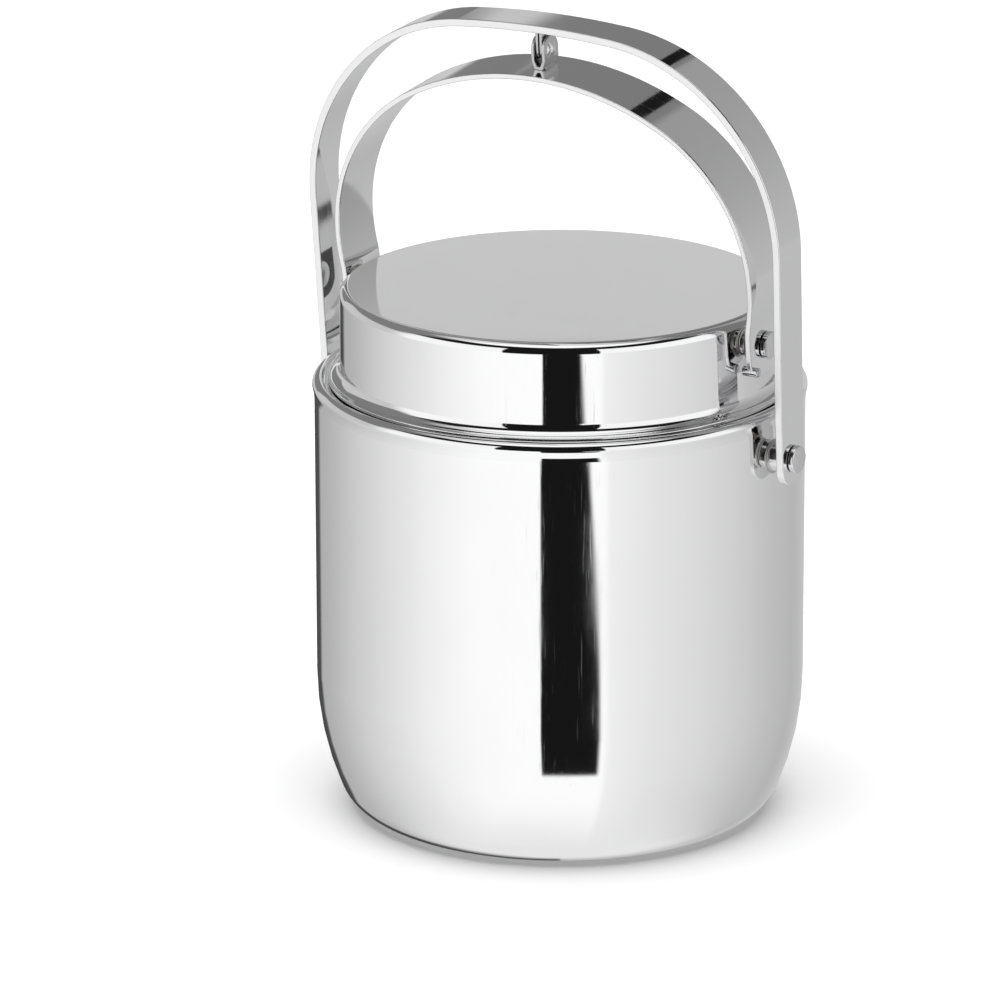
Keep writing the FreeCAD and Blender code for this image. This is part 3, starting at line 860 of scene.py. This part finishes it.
# ---------------------------------------------------------------- bucket
@dataclass
class Bucket:
    """The spun shell and the spun cup whose rim rolls over it, in millimetres."""

    polish: bpy.types.Material
    satin: bpy.types.Material
    wall: float = 0.8
    side_arc: float = 90.0
    base_arc: float = 12.0
    corner_height: float = 42.0
    base_recess: float = 1.6
    ring_width: float = 7.0
    ring_slope: float = 2.0
    ring_ease: float = 0.2
    ring_lift: float = 0.1
    floor_round: float = 12.0
    mouth_round: float = 0.9
    roll_round: float = 2.2
    roll_flare: float = 9.3
    roll_skin: float = 0.6
    roll_foot: float = 0.1
    roll_flat: float = 0.2
    inner_round: float = 0.45
    inner_turn: float = 157.4
    rim_drop: float = 1.2
    ledge: float = 3.8
    ledge_reach: float = 4.1
    ledge_rise: float = 0.25
    air_gap: float = 5.9

    def shell(self) -> bpy.types.Object:
        """Spin the shell: recessed base, standing ring, two-arc corner and straight side."""
        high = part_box("outer_shell")[1]
        side, top, wall = high.x / MM, high.z / MM, self.wall
        centre = side - self.side_arc
        step = self.side_arc - self.base_arc
        lift = self.corner_height - self.base_arc
        foot = centre + math.sqrt(step**2 - lift**2)
        turn = -math.degrees(math.asin(lift / step))
        ring, recess = foot - self.ring_width, foot - self.ring_width - self.ring_slope
        line = Profile(self.base_recess, 0.0)
        line.to(self.base_recess, recess - 2.0 * self.ring_ease)
        line.to(self.base_recess - self.ring_lift, recess)
        line.to(self.ring_lift, ring - self.ring_ease).to(0.0, ring + self.ring_ease).to(0.0, foot)
        line.arc(self.base_arc, foot, self.base_arc, -90.0, turn)
        line.arc(self.corner_height, centre, self.side_arc, turn, 0.0)
        line.to(top, side).to(top, side - wall).to(self.corner_height, side - wall)
        line.arc(self.corner_height, centre, self.side_arc - wall, 0.0, turn)
        line.arc(self.base_arc, foot, self.base_arc - wall, turn, -90.0)
        line.to(wall, ring).to(self.base_recess + wall, recess).to(self.base_recess + wall, 0.0)
        piece = line.spin("bucket_shell", Axis.UPRIGHT, Vector(), BODY_STEPS)
        return fitted(piece, self.polish, "bucket", "polished_steel", "outer_shell")

    def cup(self) -> bpy.types.Object:
        """Spin the cup that holds the ice, with its rim rolled over the shell's edge."""
        low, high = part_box("inner_liner")
        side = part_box("outer_shell")[1].x / MM
        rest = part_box("outer_shell")[1].z / MM
        under, top, edge = low.z / MM, high.z / MM, high.x / MM
        outside = side - self.wall - self.air_gap
        mouth, shoulder = outside - self.wall, top - self.rim_drop
        floor, equator = under + self.floor_round, top - self.roll_round
        share = 1.0 - (self.roll_skin - self.roll_foot) / (self.roll_flare + self.roll_round)
        turn = math.degrees(math.acos(share))
        foot = equator - (self.roll_flare + self.roll_round) * math.sin(math.radians(turn))
        flat = edge - self.roll_round - self.roll_flat
        ledge = mouth + self.mouth_round
        line = Profile(under, 0.0).to(under, outside - self.floor_round)
        line.arc(floor, outside - self.floor_round, self.floor_round, -90.0, 0.0)
        lip = side + self.roll_foot
        line.to(rest, outside).to(rest, side).to(foot, side).to(foot, lip)
        line.arc(foot, lip + self.roll_flare, self.roll_flare, 180.0, 180.0 - turn)
        line.arc(equator, edge - self.roll_round, self.roll_round, -turn, 90.0)
        line.to(top, flat)
        line.arc(top - self.inner_round, flat, self.inner_round, 90.0, self.inner_turn)
        line.to(shoulder + self.ledge_rise, ledge + self.ledge_reach)
        line.to(shoulder, ledge + self.ledge).to(shoulder, ledge)
        line.arc(shoulder - self.mouth_round, ledge, self.mouth_round, 90.0, 180.0)
        line.to(floor, mouth)
        line.arc(floor, outside - self.floor_round, self.floor_round - self.wall, 0.0, -90.0)
        line.to(under + self.wall, 0.0)
        piece = line.spin("ice_cup", Axis.UPRIGHT, Vector(), BODY_STEPS)
        return fitted(piece, self.satin, "bucket", "liner_steel", "inner_liner")

    def build(self) -> None:
        """Make both pieces."""
        self.shell()
        self.cup()


# ---------------------------------------------------------------- lid
@dataclass
class Lid:
    """The lid's drawn skin and the pan pressed into it, in millimetres."""

    polish: bpy.types.Material
    satin: bpy.types.Material
    wall: float = 0.8
    radius: float = 64.9
    crown: float = 1.3
    edge_round: float = 2.9
    flange: float = 1.2
    cove: float = 3.0
    flange_round: float = 0.4
    shoulder_fit: float = 0.005
    pan_radius: float = 63.5
    pan_round: float = 2.0
    pan_shelf: float = 8.0
    pan_step: float = 0.6

    def skin(self) -> bpy.types.Object:
        """Spin the skin: crowned top, straight wall, cove and flat flange."""
        low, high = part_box("lid_shell")
        under, summit, rim = low.z / MM, high.z / MM, high.x / MM
        turn = self.edge_round - self.wall
        edge = summit - self.crown
        rise = 2.0 * self.crown * self.edge_round / self.radius
        shoulder = edge + rise - self.edge_round - self.shoulder_fit
        inside, flat = self.radius - self.wall, self.radius - self.edge_round
        slope = 90.0 - math.degrees(math.atan(2.0 * self.crown / self.radius))
        line = Profile(summit, 0.0).dome(summit, self.crown, self.radius, 0.0, flat)
        line.arc(shoulder, flat, self.edge_round, slope, 0.0)
        line.to(under + self.flange + self.cove, self.radius)
        line.arc(under + self.flange + self.cove, self.radius + self.cove, self.cove, 180.0, 270.0)
        bend = self.flange_round
        line.arc(under + self.flange - bend, rim - bend, bend, 90.0, 0.0)
        line.arc(under + bend, rim - bend, bend, 0.0, -90.0)
        line.to(under, inside).to(shoulder, inside)
        line.arc(shoulder, inside - turn, turn, 0.0, slope)
        line.dome(summit - self.wall, self.crown, self.radius, inside - turn, 0.0)
        piece = line.spin("lid_skin", Axis.UPRIGHT, Vector(), BODY_STEPS)
        return fitted(piece, self.polish, "lid", "polished_steel", "lid_shell")

    def pan(self) -> bpy.types.Object:
        """Spin the pan, which closes the lid from below."""
        low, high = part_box("lid_pan")
        under, top, outside = low.z / MM, high.z / MM, self.pan_radius
        inside, turn = outside - self.wall, self.pan_round - self.wall
        line = Profile(under, 0.0).to(under, outside - self.pan_round)
        line.arc(under + self.pan_round, outside - self.pan_round, self.pan_round, -90.0, 0.0)
        line.to(under + self.pan_shelf, outside)
        line.to(under + self.pan_shelf + self.pan_step, outside + self.pan_step)
        line.to(top, outside + self.pan_step).to(top, inside).to(under + self.pan_round, inside)
        line.arc(under + self.pan_round, outside - self.pan_round, turn, 0.0, -90.0)
        line.to(under + self.wall, 0.0)
        piece = line.spin("lid_inner_pan", Axis.UPRIGHT, Vector(), BODY_STEPS)
        return fitted(piece, self.satin, "lid", "liner_steel", "lid_pan")

    def build(self) -> None:
        """Make both pieces."""
        self.skin()
        self.pan()


# ---------------------------------------------------------------- leg pivots
class Stud(Enum):
    """Which studs: the bucket's or the lid's."""

    HANDLE = "bucket"
    LID = "lid"

    def node(self, side: Side, piece: str) -> str:
        """Return the name of one of the stud's CAD nodes."""
        return f"{side.word}_{self.name.lower()}_{piece}"


@dataclass
class LegPivot:
    """Boss, washer and shouldered rivet that one leg turns on, in millimetres."""

    stud: Stud
    side: Side
    plastic: bpy.types.Material
    weld: bpy.types.Material
    bore: float = 2.05
    bore_ease: float = 0.2
    play: float = 0.05
    boss_bevel: float = 0.3
    washer_bevel: float = 0.12
    head: float = 1.7
    head_round: float = 0.4
    head_turn: float = 84.0
    head_crown: float = 0.18
    back_round: float = 0.12
    sunk: float = 0.35
    wall_curve: float = 0.14
    bead: float = 0.75
    bead_root: float = 0.3
    bead_lap: float = 0.2
    bead_foot: float = 0.1
    bead_lip: float = 0.02
    bead_lift: float = 0.05
    bead_arc: tuple[float, float] = (262.0, 188.0)

    def extent(self, piece: str) -> tuple[float, float, float, Vector]:
        """Measure one of the CAD pieces.

        Args:
            piece: The piece's part of its node's name.

        Returns:
            Its start and end from the axis outward, its radius and its centre line.
        """
        low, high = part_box(self.stud.node(self.side, piece))
        start, end = sorted((abs(low.x), abs(high.x)))
        middle = (low + high) / 2
        return start / MM, end / MM, (high.z - low.z) / 2 / MM, Vector((0.0, middle.y, middle.z))

    def spun(self, line: Profile, piece: str, centre: Vector, material: bpy.types.Material,
             slot: str) -> bpy.types.Object:
        """Spin a line about the stud's own line and let it stand for its node.

        Args:
            line: The line.
            piece: The piece's part of its node's name.
            centre: A point on the stud's line.
            material: The piece's finish.
            slot: The record's material slot.

        Returns:
            The piece.
        """
        node = self.stud.node(self.side, piece)
        made = line.spin(f"turned_{node}", Axis.CROSSWISE, centre, STUD_STEPS, self.side.value)
        return fitted(made, material, self.stud.value, slot, node)

    def boss(self, steel: bpy.types.Material) -> None:
        """Turn the boss, sunk a little into the wall, and lay the weld round its foot.

        Args:
            steel: The boss's finish.
        """
        start, end, radius, centre = self.extent("boss")
        foot, bevel = start - self.sunk, self.boss_bevel
        line = Profile(foot, self.bore).to(foot, radius).to(end - bevel, radius)
        line.arc(end - bevel, radius - bevel, bevel, 0.0, 90.0)
        line.to(end, self.bore + self.bore_ease).to(end - self.bore_ease, self.bore)
        line.to(foot, self.bore)
        self.spun(line, "boss", centre, steel, "fitting_steel")
        wall = start + self.wall_curve
        root, inner, outer = wall - self.bead_root, radius - self.bead_lap, radius + self.bead
        bead = Profile(root, inner).to(root, outer + self.bead_foot)
        bead.to(wall + self.bead_lip, outer)
        bead.arc(wall + self.bead, outer + self.bead_lift, self.bead, *self.bead_arc)
        bead.to(wall + self.bead - self.bead_foot, inner).to(root, inner)
        name = self.stud.node(self.side, "weld")
        ring = bead.spin(name, Axis.CROSSWISE, centre, BEAD_STEPS, self.side.value)
        rippled(ring)
        fitted(ring, self.weld, self.stud.value, "fitting_steel")

    def washer(self) -> None:
        """Turn the washer."""
        start, end, radius, centre = self.extent("washer")
        bevel = self.washer_bevel
        line = Profile(start, self.bore).to(start, radius - bevel)
        line.arc(start + bevel, radius - bevel, bevel, -90.0, 0.0)
        line.arc(end - bevel, radius - bevel, bevel, 0.0, 90.0)
        line.to(end, self.bore).to(start, self.bore)
        self.spun(line, "washer", centre, self.plastic, "nylon")

    def rivet(self, steel: bpy.types.Material) -> None:
        """Turn the shouldered rivet with its slightly crowned head.

        Args:
            steel: The rivet's finish.
        """
        start, end, radius, centre = self.extent("rivet")
        shank, back = self.bore - self.play, end - self.head
        turn, ease = self.head_round, self.back_round
        line = Profile(start, 0.0).to(start, shank).to(back, shank).to(back, radius - ease)
        line.arc(back + ease, radius - ease, ease, -90.0, 0.0)
        face = end - self.head_crown
        line.arc(face - turn, radius - turn, turn, 0.0, self.head_turn)
        line.dome(end, self.head_crown, radius - turn, radius - turn, 0.0)
        self.spun(line, "rivet", centre, steel, "fitting_steel")

    def build(self) -> None:
        """Make the three turned pieces and the weld."""
        centre = self.extent("rivet")[3]
        name = f"turned_steel_{self.stud.node(self.side, 'stud')}"
        steel = TurnedSteel(name, centre.y, centre.z).make()
        self.boss(steel)
        self.washer()
        self.rivet(steel)


# ---------------------------------------------------------------- bails
@dataclass
class Bails:
    """The two bent strips, which keep the CAD model's own meshes, and the stop pins."""

    nodes: dict[str, bpy.types.Object]
    strip: bpy.types.Material
    end_round: float = 0.5

    def stop_pin(self, side: Side) -> None:
        """Turn the short pin through the lower front corner of one inner leg.

        Args:
            side: The leg's side.
        """
        node = f"{side.word}_stop_pin"
        low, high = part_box(node)
        start, end = (edge / MM for edge in sorted((abs(low.x), abs(high.x))))
        radius, turn = (high.z - low.z) / 2 / MM, self.end_round
        centre = (low + high) / 2
        centre.x = 0.0
        line = Profile(start, 0.0).to(start, radius - turn)
        line.arc(start + turn, radius - turn, turn, -90.0, 0.0)
        line.to(end - turn, radius).arc(end - turn, radius - turn, turn, 0.0, 90.0).to(end, 0.0)
        steel = TurnedSteel(f"turned_steel_{node}", centre.y, centre.z).make()
        piece = line.spin(f"turned_{node}", Axis.CROSSWISE, centre, PIN_STEPS, side.value)
        fitted(piece, steel, "inner_bail", "fitting_steel", node)

    def build(self) -> None:
        """Dress both strips and make the stop pins."""
        for name in ("outer_handle", "inner_handle"):
            dress(self.nodes[name], self.strip)
            LOG.info("%s: %d faces, dressed", name, len(self.nodes[name].data.polygons))
        for side in Side:
            self.stop_pin(side)


@dataclass
class TopHinge:
    """The folded clevis and tongue, the domed rivet and the welds at both feet.

    The rivet's sizes are in millimetres and the others in metres.
    """

    nodes: dict[str, bpy.types.Object]
    weld: bpy.types.Material
    fold_bevel: float = 0.00014
    shank: float = 1.5
    head_rise: float = 1.0
    bead_radius: float = 0.00055
    bead_inset: float = 0.12
    foot_band: float = 0.0016
    clevis_half: float = 0.0006
    tongue_half: float = 0.003

    def rivet(self) -> None:
        """Turn the rivet with its two domed heads."""
        low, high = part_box("link_rivet")
        centre = (low + high) / 2
        centre.x = 0.0
        end, radius = high.x / MM, (high.z - low.z) / 2 / MM
        face = end - self.head_rise
        line = Profile(-end, 0.0).dome(-end, -self.head_rise, radius, 0.0, radius)
        line.to(-face, self.shank).to(face, self.shank).to(face, radius)
        line.dome(end, self.head_rise, radius, radius, 0.0)
        steel = TurnedSteel("turned_steel_link", centre.y, centre.z).make()
        piece = line.spin("turned_link_rivet", Axis.CROSSWISE, centre, STUD_STEPS)
        fitted(piece, steel, "inner_bail", "fitting_steel", "link_rivet")

    def bead(self, name: str, along: Vector, start: Vector, body: str) -> None:
        """Lay one short weld bead.

        Args:
            name: The bead's name.
            along: Its length and direction.
            start: Where it starts.
            body: The body that it moves with.
        """
        bpy.ops.object.select_all(action="DESELECT")
        bpy.ops.mesh.primitive_cylinder_add(vertices=20, radius=self.bead_radius,
                                            depth=along.length, end_fill_type="NGON")
        piece = bpy.context.object
        piece.name = piece.data.name = name
        piece.rotation_euler = along.to_track_quat("Z", "Y").to_euler()
        piece.location = start + along / 2
        bpy.ops.object.transform_apply(location=True, rotation=True)
        applied(piece, "BEVEL", width=self.bead_radius * 0.8, segments=4, limit_method="ANGLE",
                angle_limit=math.radians(60.0))
        bpy.ops.object.mode_set(mode="EDIT")
        bpy.ops.mesh.select_all(action="SELECT")
        bpy.ops.mesh.subdivide(number_cuts=5)
        bpy.ops.object.mode_set(mode="OBJECT")
        rippled(piece)
        fitted(smoothed(piece, 60.0), self.weld, body, "fitting_steel")

    def feet(self, node: str, body: str, below: bool, half: float) -> None:
        """Lay a bead along both sides of a foot, which leans with its bail.

        Args:
            node: The foot's CAD node.
            body: The body that it moves with.
            below: Whether the foot is the node's lower end.
            half: How far from the middle its side is at least, in metres.
        """
        mesh = self.nodes[node].data
        low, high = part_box(node)
        level = low.z if below else high.z
        for side in Side:
            reach = [vertex.co for vertex in mesh.vertices
                     if vertex.co.x * side.value > half
                     and abs(vertex.co.z - level) < self.foot_band]
            front = min(reach, key=lambda place: place.y)
            back = max(reach, key=lambda place: place.y)
            inset = (back - front) * self.bead_inset
            along = (back - front) - inset * 2.0
            self.bead(f"{node}_weld_{side.word}", along, front + inset, body)

    def build(self) -> None:
        """Soften the folded pieces, turn the rivet and lay the welds."""
        middle = sum(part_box("link_rivet"), Vector()) / 2
        for node, body in (("link_clevis", "inner_bail"), ("link_tongue", "outer_bail")):
            # The clevis and tongue get darker steel colours than the other turned pieces. This is
            # painted shade: it stands in for the dimmer reflections that the bright surroundings
            # don't give them.
            steel = TurnedSteel(f"pressed_steel_{node}", middle.y, middle.z,
                                colour=(0.70, 0.70, 0.70), shade=(0.48, 0.48, 0.48),
                                gloss=0.14, groove=0.28).make()
            piece = softened(self.nodes[node], f"pressed_{node}", self.fold_bevel)
            fitted(piece, steel, body, "fitting_steel", node)
        self.rivet()
        self.feet("link_clevis", "inner_bail", True, self.clevis_half)
        self.feet("link_tongue", "outer_bail", False, self.tongue_half)


def main() -> None:
    """Load the frame, finish every piece and set the studio."""
    logging.basicConfig(level=logging.INFO, format="%(message)s")
    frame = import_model()
    bpy.ops.object.select_all(action="DESELECT")
    bpy.context.scene.view_settings.view_transform = "Standard"
    mirror, satin, strip, weld, plastic = (
        finish().make() for finish in (MirrorSteel, SpunSteel, StripSteel, WeldBead, Nylon))
    Bucket(mirror, satin).build()
    Lid(mirror, satin).build()
    for stud in Stud:
        for side in Side:
            LegPivot(stud, side, plastic, weld).build()
    Bails(frame["nodes"], strip).build()
    TopHinge(frame["nodes"], weld).build()
    Lens().place()
    Surroundings().make()
    Floor().make()
    SoftBox("overhead_box", place=(0.0, -0.2, 2.6), size=3.4, power=90.0).hang()


if __name__ == "__main__":
    main()
